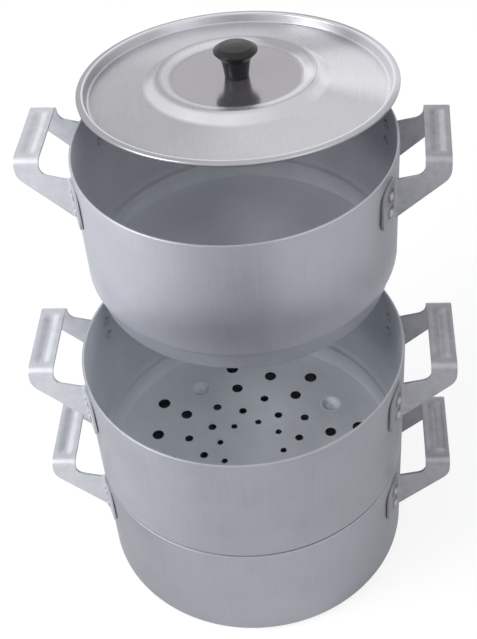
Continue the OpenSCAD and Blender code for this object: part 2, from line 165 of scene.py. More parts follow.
class Bench:
    """Blender's own modelling tools, worked as by hand."""

    @staticmethod
    def clear() -> None:
        """Leave edit mode and deselect all objects."""
        active = bpy.context.view_layer.objects.active
        if active is not None and active.mode != "OBJECT":
            bpy.ops.object.mode_set(mode="OBJECT")
        bpy.ops.object.select_all(action="DESELECT")

    @staticmethod
    def take(obj: Piece) -> None:
        """Select one object alone and make it the active one.

        Args:
            obj: The object.
        """
        Bench.clear()
        obj.select_set(True)
        bpy.context.view_layer.objects.active = obj

    @staticmethod
    def edit(obj: Piece) -> bmesh.types.BMesh:
        """Open an object in edit mode, with nothing selected.

        Args:
            obj: The object.

        Returns:
            Its edit mesh.
        """
        Bench.take(obj)
        bpy.ops.object.mode_set(mode="EDIT")
        bpy.ops.mesh.select_all(action="DESELECT")
        return bmesh.from_edit_mesh(obj.data)

    @staticmethod
    def named(obj: Piece, name: str) -> Piece:
        """Name a piece and its mesh.

        Args:
            obj: The piece.
            name: Its name.

        Returns:
            The piece.
        """
        obj.name = name
        obj.data.name = name
        return obj

    @staticmethod
    def close(name: str) -> Piece:
        """Leave edit mode and name the piece."""
        bpy.ops.object.mode_set(mode="OBJECT")
        return Bench.named(bpy.context.view_layer.objects.active, name)

    @staticmethod
    def weld() -> None:
        """Merge doubles and turn all faces outwards, in edit mode."""
        bpy.ops.mesh.select_all(action="SELECT")
        bpy.ops.mesh.remove_doubles(threshold=WELD)
        bpy.ops.mesh.dissolve_degenerate(threshold=WELD)
        bpy.ops.mesh.select_all(action="SELECT")
        bpy.ops.mesh.normals_make_consistent(inside=False)
        mesh = bmesh.from_edit_mesh(bpy.context.edit_object.data)
        if mesh.calc_volume(signed=True) < 0.0:
            bpy.ops.mesh.flip_normals()

    @staticmethod
    def turned(name: str, section: Sequence[Point], steps: int) -> Piece:
        """Draw a half section by extruding a vertex, and spin it round the Z axis.

        Args:
            name: The piece's name.
            section: Its half section as radius and height, in metres.
            steps: How many steps the spin has.

        Returns:
            The closed piece.
        """
        Bench.clear()
        bpy.ops.mesh.primitive_plane_add(size=SHEET, enter_editmode=True, location=(0.0, 0.0, 0.0))
        bpy.ops.mesh.merge(type="CENTER")
        bpy.ops.transform.translate(value=(section[0][0], 0.0, section[0][1]))
        for before, after in zip(section, section[1:]):
            step = (after[0] - before[0], 0.0, after[1] - before[1])
            bpy.ops.mesh.extrude_region_move(TRANSFORM_OT_translate={"value": step})
        bpy.ops.mesh.select_all(action="SELECT")
        bpy.ops.mesh.remove_doubles(threshold=WELD)
        bpy.ops.mesh.select_all(action="SELECT")
        bpy.ops.mesh.spin(steps=steps, angle=math.tau, center=(0.0, 0.0, 0.0), axis=(0.0, 0.0, 1.0))
        Bench.weld()
        return Bench.close(name)

    @staticmethod
    def lofted(name: str, rows: Sequence[Row], across: int) -> Piece:
        """Bend a flat grid so that each of its rows lies between two points.

        Args:
            name: The piece's name.
            rows: The two ends of each row.
            across: How many faces lie across.

        Returns:
            The open sheet.
        """
        Bench.clear()
        bpy.ops.mesh.primitive_grid_add(
            x_subdivisions=across, y_subdivisions=len(rows) - 1, size=1.0, enter_editmode=True
        )
        mesh = bmesh.from_edit_mesh(bpy.context.edit_object.data)
        for vert in mesh.verts:
            share = vert.co.x + 0.5
            low, high = rows[round((vert.co.y + 0.5) * (len(rows) - 1))]
            vert.co = low.lerp(high, share)
        bmesh.update_edit_mesh(bpy.context.edit_object.data)
        return Bench.close(name)

    @staticmethod
    def cutters(places: Iterable[tuple[Matrix, float, float]], vertices: int) -> Piece:
        """Make one cutter of several round bars.

        Args:
            places: Each bar's place, along its own Z axis, with its radius and length.
            vertices: Sides of a bar.

        Returns:
            The cutter, one object.
        """
        Bench.clear()
        bars: list[Piece] = []
        for place, radius, length in places:
            bpy.ops.mesh.primitive_cylinder_add(vertices=vertices, radius=radius, depth=length)
            bars.append(bpy.context.view_layer.objects.active)
            bars[-1].data.transform(place)
        return Bench.join(bars, "cutter")

    @staticmethod
    def join(parts: Sequence[Piece], name: str) -> Piece:
        """Join pieces into one object.

        Args:
            parts: The pieces.
            name: The name of the whole.

        Returns:
            The joined object.
        """
        Bench.clear()
        for part in parts:
            part.select_set(True)
        bpy.context.view_layer.objects.active = parts[0]
        bpy.ops.object.join()
        return Bench.named(bpy.context.view_layer.objects.active, name)

    @staticmethod
    def repeated(pattern: Piece, places: Sequence[Matrix], name: str) -> Piece:
        """Copy a piece to several places, remove it and join its copies.

        Args:
            pattern: The piece.
            places: Where its copies go.
            name: The name of the whole.

        Returns:
            The joined copies.
        """
        twins = []
        for number, where in enumerate(places):
            twins.append(Bench.copy(pattern, f"{name}_{number}"))
            Bench.place(twins[-1], where)
        bpy.data.objects.remove(pattern)
        return Bench.join(twins, name)

    @staticmethod
    def combine(obj: Piece, tool: Piece, operation: str) -> None:
        """Cut a tool out of a piece, or weld it on, and remove the tool.

        Args:
            obj: The piece.
            tool: The other solid.
            operation: DIFFERENCE or UNION.
        """
        step = obj.modifiers.new("Combine", "BOOLEAN")
        step.operation = operation
        step.solver = "EXACT"
        step.object = tool
        Bench.apply(obj)
        bpy.data.objects.remove(tool)

    @staticmethod
    def apply(obj: Piece) -> None:
        """Apply all modifiers of a piece, in their order.

        Args:
            obj: The piece.
        """
        Bench.take(obj)
        for name in [m.name for m in obj.modifiers]:
            bpy.ops.object.modifier_apply(modifier=name)

    @staticmethod
    def place(obj: Piece, where: Matrix) -> None:
        """Move a piece, with its place kept in its mesh.

        Args:
            obj: The piece.
            where: Its place.
        """
        Bench.take(obj)
        obj.matrix_world = where
        bpy.ops.object.transform_apply(location=True, rotation=True, scale=True)

    @staticmethod
    def copy(obj: Piece, name: str) -> Piece:
        """Copy a piece with a mesh of its own.

        Args:
            obj: The piece.
            name: The copy's name.

        Returns:
            The copy.
        """
        twin = obj.copy()
        twin.data = obj.data.copy()
        bpy.context.scene.collection.objects.link(twin)
        return Bench.named(twin, name)

    @staticmethod
    def smooth(obj: Piece, degrees: float = 32.0) -> None:
        """Shade a piece smooth across edges flatter than an angle."""
        Bench.take(obj)
        bpy.ops.object.shade_smooth_by_angle(angle=math.radians(degrees))


# Shader bench


class Value:
    """A value socket that takes part in Python arithmetic by adding Math nodes."""

    def __init__(self, graph: "Graph", socket: bpy.types.NodeSocket) -> None:
        """Wrap an output socket of a graph."""
        self.graph = graph
        self.socket = socket

    def _with(self, operation: str, *others: "Value | float", swap: bool = False) -> "Value":
        """Add one Math node.

        Args:
            operation: The Math node's operation.
            others: Its further operands.
            swap: Whether this value comes second.

        Returns:
            The result.
        """
        operands: list[Any] = [self, *others]
        if swap:
            operands[:2] = operands[1::-1]
        return self.graph.add("ShaderNodeMath", {"operation": operation}, dict(enumerate(operands)))

    def __add__(self, other: "Value | float") -> "Value":
        """Sum."""
        return self._with("ADD", other)

    __radd__ = __add__

    def __sub__(self, other: "Value | float") -> "Value":
        """Difference."""
        return self._with("SUBTRACT", other)

    def __rsub__(self, other: float) -> "Value":
        """Difference from a number."""
        return self._with("SUBTRACT", other, swap=True)

    def __mul__(self, other: "Value | float") -> "Value":
        """Product."""
        return self._with("MULTIPLY", other)

    def __truediv__(self, other: "Value | float") -> "Value":
        """Quotient."""
        return self._with("DIVIDE", other)

    def __pow__(self, other: float) -> "Value":
        """Power."""
        return self._with("POWER", other)

    def size(self) -> "Value":
        """Size without its sign."""
        return self._with("ABSOLUTE")

    def larger(self, other: "Value") -> "Value":
        """The larger of two."""
        return self._with("MAXIMUM", other)

    def smaller(self, other: "Value") -> "Value":
        """The smaller of two."""
        return self._with("MINIMUM", other)

    def clamped(self) -> "Value":
        """Held between 0 and 1."""
        return self.graph.add("ShaderNodeClamp", links={"Value": self, "Min": 0.0, "Max": 1.0})

    def step(self, low: float, high: float) -> "Value":
        """Rise smoothly from 0 at low to 1 at high.

        Args:
            low: Where the result is 0.
            high: Where it is 1.

        Returns:
            The smooth step.
        """
        settings = {"interpolation_type": "SMOOTHSTEP"}
        links = {"Value": self, "From Min": low, "From Max": high}
        return self.graph.add("ShaderNodeMapRange", settings, links)


Place = tuple[Value, Value, Value]


def apart(first: Value, second: Value) -> Value:
    """Distance over two directions at right angles, never quite zero."""
    return (first * first + second * second + NEAR_ZERO) ** 0.5


class Graph:
    """The nodes of one material or world."""

    def __init__(self, owner: Finish | bpy.types.World) -> None:
        """Empty a node tree.

        Args:
            owner: The material or world that it belongs to.
        """
        owner.use_nodes = True
        self.owner = owner
        self.tree = owner.node_tree
        self.tree.nodes.clear()

    def add(
        self,
        kind: str,
        settings: dict[str, Any] | None = None,
        links: dict[str | int, Any] | None = None,
        output: str | int = 0,
    ) -> Any:
        """Add a node, set it up and link it.

        Args:
            kind: The node's type.
            settings: Its properties, set before its sockets.
            links: Its inputs, as values or as results of other nodes.
            output: The output that is returned.

        Returns:
            The chosen output.
        """
        node = self.tree.nodes.new(kind)
        for key, value in (settings or {}).items():
            setattr(node, key, value)
        for key, value in (links or {}).items():
            if isinstance(value, Value):
                self.tree.links.new(value.socket, node.inputs[key])
            else:
                node.inputs[key].default_value = value
        return Value(self, node.outputs[output]) if node.outputs else None

    def place(self, centre: Vector = ORIGIN, turn: Vector = ORIGIN) -> Place:
        """Object coordinates from a piece's own centre, turned back upright.

        Args:
            centre: The piece's centre.
            turn: Its turn as Euler angles.

        Returns:
            The X, Y and Z of each place.
        """
        coords = self.add("ShaderNodeTexCoord", output="Object")
        links = {"Vector": coords, "Location": centre, "Rotation": turn}
        upright = self.add("ShaderNodeMapping", {"vector_type": "TEXTURE"}, links)
        first = self.add("ShaderNodeSeparateXYZ", links={0: upright})
        x, y, z = (Value(self, part) for part in first.socket.node.outputs)
        return x, y, z

    def noise(self, parts: Sequence[Value | float], detail: float = 3.0, rough: float = 0.6) -> Value:
        """Noise over three coordinates.

        Args:
            parts: The coordinates, already scaled.
            detail: Octaves.
            rough: How strong the finer octaves are.

        Returns:
            The noise, about 0.5.
        """
        vector = self.add("ShaderNodeCombineXYZ", links=dict(enumerate(parts)))
        links = {"Vector": vector, "Scale": 1.0, "Detail": detail, "Roughness": rough}
        return self.add("ShaderNodeTexNoise", {"normalize": True}, links)

    def mix(self, share: Value, first: Any, second: Any) -> Value:
        """Mix two colours.

        Args:
            share: How much of the second one.
            first: A colour, or a result of other nodes.
            second: Another one.

        Returns:
            The mixed colour.
        """
        node = self.tree.nodes.new("ShaderNodeMix")
        node.data_type = "RGBA"
        for key, value in (("Factor_Float", share), ("A_Color", first), ("B_Color", second)):
            socket = next(s for s in node.inputs if s.identifier == key)
            if isinstance(value, Value):
                self.tree.links.new(value.socket, socket)
            else:
                socket.default_value = value
        return Value(self, next(s for s in node.outputs if s.identifier == "Result_Color"))

    def bump(self, height: Value, strength: float, distance: float) -> Value:
        """Turn a height, of which 1 stands for a distance, into a normal."""
        links = {"Height": height, "Strength": strength, "Distance": distance}
        return self.add("ShaderNodeBump", links=links, output="Normal")

    def finish(self, links: dict[str | int, Any]) -> Finish:
        """Close the graph with a Principled shader.

        Args:
            links: The shader's inputs.

        Returns:
            The finished material.
        """
        shader = self.add("ShaderNodeBsdfPrincipled", links=links)
        self.add("ShaderNodeOutputMaterial", links={"Surface": shader})
        return self.owner


# Finishes

# How often marks change, per metre, across and along the grain where they follow it
CLOUDS = 22.0
DENTS = 150.0
STREAKS = (900.0, 14.0)
HAIRS = (3800.0, 40.0)

# How strongly marks change the roughness, the colour and the height
CLOUD_ROUGH = 0.16
HAIR_ROUGH = 0.12
DENT_MARK = 0.9
DENT_HEIGHT = 6.0
MARK_HEIGHT = 0.4 * MM


class Grain(Enum):
    """Which way the marks of a metal's making run."""

    SPUN = "round the axis"
    DRAWN = "up the wall"
    ROLLED = "along the sheet"


class Tone(Enum):
    """The bright and the dull colour of each metal."""

    WALL = (0.56, 0.575, 0.63), (0.25, 0.255, 0.28)
    # The matt inside's own pale tone, lifted further as painted light in the shaded inside
    LINING = (0.94, 0.965, 1.0), (0.45, 0.468, 0.505)
    # Painted shade on the walls of the steam holes
    CUT = (0.09, 0.09, 0.10), (0.03, 0.03, 0.035)
    # Lit and shaded copies of one strap metal: the left painted lit, the right painted shaded
    STRAP_LEFT = (0.80, 0.815, 0.86), (0.40, 0.41, 0.45)
    STRAP_RIGHT = (0.50, 0.50, 0.535), (0.17, 0.17, 0.188)
    # Lit and shaded copies of one rivet metal: the left painted lit, the right painted shaded
    RIVET_LEFT = (0.70, 0.71, 0.75), (0.32, 0.325, 0.35)
    RIVET_RIGHT = (0.55, 0.55, 0.57), (0.26, 0.26, 0.275)
    LID = (0.80, 0.80, 0.835), (0.37, 0.37, 0.395)
    STEEL = (0.55, 0.55, 0.56), (0.42, 0.42, 0.43)
    BRASS = (0.72, 0.5, 0.2), (0.6, 0.4, 0.15)


@dataclass(frozen=True)
class PaintedMark:
    """A painted highlight or painted shade at some distance from a line, in millimetres: full within its
    core, gone at its edge.
    """

    middle: float
    edge: float
    core: float
    gain: float

    def value(self, distance: Value) -> Value:
        """How strongly the mark shows, from 0 to its gain."""
        return (distance - self.middle * MM).size().step(self.edge * MM, self.core * MM) * self.gain


@dataclass(frozen=True)
class PaintedSheen:
    """A painted sheen: a soft band of painted reflection on sheet facing one way, or painted shade where its
    gain is below zero.
    """

    azimuth: float
    spread: float
    gain: float = 1.0

    def value(self, way: tuple[Value, Value]) -> Value:
        """How strongly the band shows at each place.

        Args:
            way: Cosine and sine of each place's azimuth.

        Returns:
            The band, from 0 to its gain.
        """
        middle = math.radians(self.azimuth)
        facing = way[0] * math.cos(middle) + way[1] * math.sin(middle)
        return facing.step(math.cos(math.radians(self.spread)), 1.0) * self.gain


@dataclass(frozen=True)
class PaintedRing:
    """A ring of painted highlight or painted shade along a pressed step, brighter or darker than the sheet
    beside it.
    """

    radius: float
    width: float
    gain: float
    side: PaintedSheen | None = None
    core_share: float = 0.35

    def value(self, radius: Value, way: tuple[Value, Value]) -> Value:
        """How strongly the ring shows at each place.

        Args:
            radius: Each place's distance from the axis.
            way: Cosine and sine of its azimuth.

        Returns:
            The ring, from 0 to its gain.
        """
        ring = PaintedMark(self.radius, self.width, self.width * self.core_share, self.gain).value(radius)
        return ring if self.side is None else ring * self.side.value(way)


@dataclass(frozen=True)
class Aluminium:
    """Bare aluminium, with the marks of its making, painted sheens and painted shade."""

    name: str
    tone: Tone
    roughness: float
    grain: Grain
    metal: float = 0.6
    level: float = 0.4
    streaks: float = 0.2
    clouds: float = 0.35
    depth: float = 0.03
    dents: float = 0.0
    # Painted light that changes with height: from, to, in millimetres, and its gain
    fade: Spot = (0.0, 1.0, 0.0)
    sheens: Sequence[PaintedSheen] = ()
    centre: Vector = ORIGIN
    turn: Vector = ORIGIN

    def _grain(self, xyz: Place, fine: float, along: float) -> Value:
        """Noise that is fine across the grain and long along it.

        Args:
            xyz: The piece's coordinates.
            fine: How often it changes across, per metre.
            along: How often it changes along, per metre.

        Returns:
            The noise.
        """
        x, y, z = xyz
        if self.grain is Grain.ROLLED:
            return x.graph.noise((x * fine, y * along, z * fine))
        if self.grain is Grain.DRAWN:
            return x.graph.noise((x * fine, y * fine, z * along))
        return x.graph.noise((apart(x, y) * fine + x * along, z * fine, y * along))

    @staticmethod
    def lie(xyz: Place) -> tuple[Value, tuple[Value, Value]]:
        """Find how each place lies round the axis.

        Args:
            xyz: The piece's coordinates.

        Returns:
            The radius, and the cosine and sine of the azimuth.
        """
        radius = apart(xyz[0], xyz[1])
        return radius, (xyz[0] / radius, xyz[1] / radius)

    def _painted_bands(self, xyz: Place) -> Value | float:
        """Add up the painted sheens and painted shade round the axis, and the painted light of the fade
        between two heights.

        Args:
            xyz: The piece's coordinates.

        Returns:
            What they add to the share of the bright colour.
        """
        total: Value | float = 0.0
        if self.sheens:
            radius, way = self.lie(xyz)
            off_axis = radius.step(5.0 * MM, 60.0 * MM)
            total = sum(band.value(way) * off_axis for band in self.sheens)
        low, high, gain = self.fade
        return xyz[2].step(low * MM, high * MM) * gain + total if gain else total

    def painted_form_shading(self, xyz: Place) -> Value | float:
        """Painted highlights and shade that the piece's own form adds to the share of the bright colour;
        plain sheet adds nothing.
        """
        return 0.0

    def polish_and_painted_reflection(self, xyz: Place, colour: Value, rough: Value) -> tuple[Value, Value]:
        """Rework the roughness where a piece is polished, and its colour where a reflection is painted; plain
        sheet has neither.
        """
        return colour, rough

    def material(self) -> Finish:
        """Build the finish.

        Returns:
            The material.
        """
        graph = Graph(bpy.data.materials.new(self.name))
        xyz = graph.place(self.centre, self.turn)
        cloud = graph.noise([part * CLOUDS for part in xyz], rough=0.55)
        streak, hair = self._grain(xyz, *STREAKS), self._grain(xyz, *HAIRS)
        marks = (streak - 0.5) * self.streaks + (cloud - 0.5) * self.clouds
        height = streak * 0.5 + hair * 0.5
        if self.dents > 0.0:
            dent = graph.noise([part * DENTS for part in xyz])
            marks = marks + (dent - 0.5) * (self.dents * DENT_MARK)
            height = height + dent * (self.dents * DENT_HEIGHT)
        bright, dull = ((*colour, 1.0) for colour in self.tone.value)
        # Grain marks, with painted sheens, painted light and painted form shading on top
        share = marks + self.level + self._painted_bands(xyz) + self.painted_form_shading(xyz)
        colour = graph.mix(share.clamped(), dull, bright)
        rough = self.roughness + (cloud - 0.5) * CLOUD_ROUGH + (hair - 0.5) * HAIR_ROUGH
        colour, rough = self.polish_and_painted_reflection(xyz, colour, rough)
        normal = graph.bump(height, self.depth, MARK_HEIGHT)
        return graph.finish(
            {"Base Color": colour, "Metallic": self.metal, "Roughness": rough, "Normal": normal}
        )


@dataclass(frozen=True)
class LidAluminium(Aluminium):
    """The lid's bright sheet: a brushed plate, painted highlights and shade on its pressed rings, and a
    polished recess with a painted darker reflection.
    """

    # Painted highlights and painted shade along the pressed steps
    rings: Sequence[PaintedRing] = ()
    disc_r: float = 53.8
    disc_edge: float = 0.8
    # Painted reflection: the recess's darker colour
    disc_reflection: tuple[float, float, float, float] = (0.40, 0.38, 0.41, 1.0)
    disc_rough: float = 0.15

    def painted_form_shading(self, xyz: Place) -> Value:
        """Add up the painted highlights and shade of the pressed rings."""
        radius, way = self.lie(xyz)
        return sum(ring.value(radius, way) for ring in self.rings)

    def polish_and_painted_reflection(self, xyz: Place, colour: Value, rough: Value) -> tuple[Value, Value]:
        """Buff the recess to a lower roughness, and paint a darker reflection into its colour.

        Args:
            xyz: The lid's coordinates.
            colour: The plate's colour.
            rough: The plate's roughness.

        Returns:
            The colour and the roughness with the recess in them.
        """
        radius, _ = self.lie(xyz)
        within = radius.step(self.disc_r * MM, (self.disc_r - self.disc_edge) * MM)
        rough = rough + within * (self.disc_rough - self.roughness)
        return colour.graph.mix(within, colour, self.disc_reflection), rough


@dataclass(frozen=True)
class FloorAluminium(Aluminium):
    """A tier's matt inside, with painted highlights and painted shade on its four pressed feet."""

    foot_ring: float = 85.2
    foot_angle: float = 35.6
    outer: Point = (-1.5, 4.0)
    floor: Point = (8.0, 5.0)
    # Painted highlight crescent, painted shade in the hollow, and painted highlight rings on each foot
    crescent: PaintedMark = PaintedMark(6.0, 2.8, 0.8, 0.8)
    hollow: PaintedMark = PaintedMark(5.0, 3.0, 1.0, -0.25)
    rings: Sequence[PaintedMark] = (PaintedMark(8.9, 1.1, 0.2, 0.3), PaintedMark(3.3, 0.9, 0.2, 0.3))

    def painted_form_shading(self, xyz: Place) -> Value:
        """Paint a highlight crescent on each foot's outer side, shade in the hollow on its inner side, and
        fine highlight rings.

        Args:
            xyz: The tier's coordinates.

        Returns:
            What they add to the share of the bright colour.
        """
        turn = Vector((0.0, 0.0, math.radians(self.foot_angle)))
        x, y, z = xyz[0].graph.place(self.centre, turn)
        out = x.size().larger(y.size()) - self.foot_ring * MM
        away = apart(out, x.size().smaller(y.size()))
        outer = out.step(self.outer[0] * MM, self.outer[1] * MM)
        foot = self.crescent.value(away) * outer + self.hollow.value(away) * (1.0 - outer)
        foot = foot + sum(ring.value(away) for ring in self.rings)
        return foot * z.step(self.floor[0] * MM, self.floor[1] * MM)


def from_rivet(xyz: Place) -> Value:
    """Find how far each place on a handle's tabs is from the nearest rivet's axis.

    Args:
        xyz: Coordinates from the middle of the vessel's rim.

    Returns:
        The distance.
    """
    x, y, z = xyz
    upper, lower = RIVET_DROPS
    beside = y.size() - apart(x, y) * RIVET_LEAN
    above = (z + (upper + lower) / 2 * MM).size() - (lower - upper) / 2 * MM
    return apart(beside, above)


@dataclass(frozen=True)
class RivetAluminium(Aluminium):
    """A rivet's head, bright on its dome, with painted shade round its rim."""

    rim: Point = (2.6, 3.9)
    rim_shade_gain: float = -0.6

    def painted_form_shading(self, xyz: Place) -> Value:
        """Paint shade round the rim."""
        return from_rivet(xyz).step(self.rim[0] * MM, self.rim[1] * MM) * self.rim_shade_gain


@dataclass(frozen=True)
class StrapAluminium(Aluminium):
    """A folded strap's sheet, with painted highlights on its folds and on the side of its groove that faces
    left, and painted shade on the other side and round the rivets.
    """

    grip_x: float = 158.5
    groove: Point = (30.0, 25.0)
    # The groove's slopes: painted highlight on the one that faces left, painted shade on the other
    lit: PaintedMark = PaintedMark(3.6, 3.2, 1.0, 0.4)
    shaded: PaintedMark = PaintedMark(-3.8, 3.0, 1.0, -0.2)
    # Painted highlights along the folds
    fold: PaintedMark = PaintedMark(35.0, 2.6, 0.6, 0.3)
    fold_z: Point = (-6.0, 0.0)
    tab_fold: PaintedMark = PaintedMark(40.2, 2.6, 0.8, 0.3)
    # Painted shade round each rivet's socket
    socket: PaintedMark = PaintedMark(4.9, 1.5, 0.4, -0.45)

    def painted_form_shading(self, xyz: Place) -> Value:
        """Add up the painted highlights on the folds, the painted highlight and shade on the groove's two
        slopes, and the painted shade round the rivets' sockets.

        Args:
            xyz: Coordinates from the middle of the vessel's rim.

        Returns:
            What they add to the share of the bright colour.
        """
        x, y, z = xyz
        across, along = x - self.grip_x * MM, y.size()
        groove = along.step(self.groove[0] * MM, self.groove[1] * MM)
        slopes = (self.lit.value(across) + self.shaded.value(across)) * groove
        fold = self.fold.value(along) * z.step(self.fold_z[0] * MM, self.fold_z[1] * MM)
        return slopes + fold + self.tab_fold.value(along) + self.socket.value(from_rivet(xyz))


@dataclass(frozen=True)
class Moulded:
    """Black moulded plastic with a soft gloss."""

    name: str
    colour: Spot
    roughness: float
    flow_often: float = 60.0
    grit_often: float = 2600.0
    worn_gain: float = 1.9
    grit_height: float = 0.2

    def material(self) -> Finish:
        """Build the finish.

        Returns:
            The material.
        """
        graph = Graph(bpy.data.materials.new(self.name))
        xyz = graph.place()
        flow = graph.noise([part * self.flow_often for part in xyz], rough=0.5)
        grit = graph.noise([part * self.grit_often for part in xyz], 2.0, 0.5)
        worn = (*(part * self.worn_gain for part in self.colour), 1.0)
        colour = graph.mix(flow.step(0.42, 0.75), (*self.colour, 1.0), worn)
        rough = self.roughness + (flow - 0.5) * 0.18 + (grit - 0.5) * 0.1
        normal = graph.bump(grit, 0.04, self.grit_height * MM)
        return graph.finish(
            {"Base Color": colour, "Metallic": 0.0, "Roughness": rough, "Normal": normal, "IOR": 1.4}
        )


# Sub-assemblies


def around(radius: float, degrees: float) -> Matrix:
    """A place at a radius in millimetres, turned round the Z axis."""
    return Matrix.Rotation(math.radians(degrees), 4, "Z") @ Matrix.Translation((radius * MM, 0.0, 0.0))


@dataclass
class Vessel:
    """A pressed vessel: its sheet, its two strap handles and their rivets."""

    body: str
    shell: str
    corners: Sequence[Corner]
    rim_z: float
    centre: Vector
    turn: float = 0.0
    holes: Sequence[Spot] = ()
    feet: Sequence[Point] = ()
    # Painted sheens and painted shade round the wall, and painted light between two heights
    sheens: Sequence[PaintedSheen] = ()
    fade: Spot = (0.0, 1.0, 0.0)
    steps: int = 192
    foot_r: float = 8.75

    @property
    def height(self) -> float:
        """Height of the vessel, in metres."""
        return self.corners[-1].z * MM + SHEET / 2

    @property
    def rim(self) -> Vector:
        """The middle of the rim."""
        return Vector((self.centre.x, self.centre.y, self.rim_z))

    def where(self) -> Matrix:
        """The vessel's place, with its origin at its bottom."""
        base = Vector((self.centre.x, self.centre.y, self.rim_z - self.height))
        return Matrix.Translation(base) @ Matrix.Rotation(math.radians(self.turn), 4, "Z")

    def handle_place(self, side: str) -> Matrix:
        """Where a handle and its rivets go: modelled on the right, with heights from the rim."""
        half_turn = Matrix.Rotation(math.pi if side == "left" else 0.0, 4, "Z")
        return self.where() @ Matrix.Translation((0.0, 0.0, self.height)) @ half_turn

    @staticmethod
    def make_foot() -> Piece:
        """Turn one pressed foot, hollow above, with its flange within the sheet.

        Returns:
            The foot, on the Z axis.
        """
        top = [(0.0, -1.55), (2.2, -1.5), (3.6, -1.1), (5.2, -0.1), (6.6, 1.0), (7.8, 1.7), (8.7, 1.97)]
        under = [(9.3, 1.5), (9.3, 0.5), (8.8, 0.03), (7.9, -0.25), (6.6, -1.1), (5.2, -2.2)]
        tip = [(3.7, -3.1), (2.3, -3.46), (0.0, -3.5)]
        return Bench.turned("foot", [(r * MM, z * MM) for r, z in top + under + tip], 48)

    def make_shell(self, rivets: "RivetSet") -> Piece:
        """Turn the vessel's sheet, cut its steam holes and rivet bores and press its feet.

        Args:
            rivets: The rivets of one handle.

        Returns:
            The shell, in place.
        """
        shell = Bench.turned(f"{self.shell}.sheet", sheet_section(filleted(self.corners), SHEET), self.steps)
        holes = [(around(radius, angle), hole_r * MM, CUT_L) for radius, angle, hole_r in self.holes]
        feet = [around(radius, angle) for radius, angle in self.feet]
        holes += [(place, self.foot_r * MM, CUT_L) for place in feet]
        if holes:
            Bench.combine(shell, Bench.cutters(holes, 40), "DIFFERENCE")
        if feet:
            Bench.combine(shell, Bench.repeated(self.make_foot(), feet, "feet"), "UNION")
        Bench.place(shell, self.where())
        for side in SIDES:
            Bench.combine(shell, rivets.bores(self.handle_place(side)), "DIFFERENCE")
        Bench.smooth(shell)
        return shell


@dataclass(frozen=True)
class RivetSet:
    """The four rivets of one handle, and the bores that they need."""

    head_r: float = 4.0
    shank_r: float = 2.4
    bore_gap: float = 0.08
    bore_l: float = 12.0
    outer: float = WALL_R + 2.16
    inner: float = WALL_R - 2.3

    @staticmethod
    def axes() -> list[Matrix]:
        """Find the rivets' axes on the right, with heights from the rim.

        Returns:
            A place for each rivet, its Z axis outwards.
        """
        lean = math.asin(RIVET_LEAN)
        return [
            Matrix.Translation((0.0, 0.0, -drop * MM)) @ Matrix.Rotation(side * lean, 4, "Z")
            @ Matrix.Rotation(math.pi / 2, 4, "Y")
            for side in (-1.0, 1.0) for drop in RIVET_DROPS
        ]

    def bores(self, where: Matrix) -> Piece:
        """Make the cutter for all four bores.

        Args:
            where: The handle's place.

        Returns:
            The cutter.
        """
        out = Matrix.Translation((0.0, 0.0, WALL_R * MM))
        radius, length = (self.shank_r + self.bore_gap) * MM, self.bore_l * MM
        return Bench.cutters([(where @ axis @ out, radius, length) for axis in self.axes()], 24)

    def make(self) -> Piece:
        """Turn one rivet, domed outside and flattened inside, and copy it to the other places.

        Returns:
            The four rivets of a handle on the right, with heights from the rim.
        """
        dome = [(0.0, 2.0), (1.3, 1.86), (2.4, 1.42), (3.3, 0.82), (3.85, 0.3), (self.head_r, 0.0),
                (self.shank_r, 0.0)]
        tail = [(self.shank_r, 0.15), (self.head_r, 0.15), (self.head_r, -0.35), (3.6, -0.85), (2.6, -1.15),
                (1.4, -1.05), (1.0, -0.6), (0.0, -0.5)]
        section = [(r * MM, (self.outer + z) * MM) for r, z in dome]
        section += [(r * MM, (self.inner + z) * MM) for r, z in tail]
        rivets = Bench.repeated(Bench.turned("rivet", section, 28), self.axes(), "rivet pattern")
        Bench.smooth(rivets, 40.0)
        return rivets


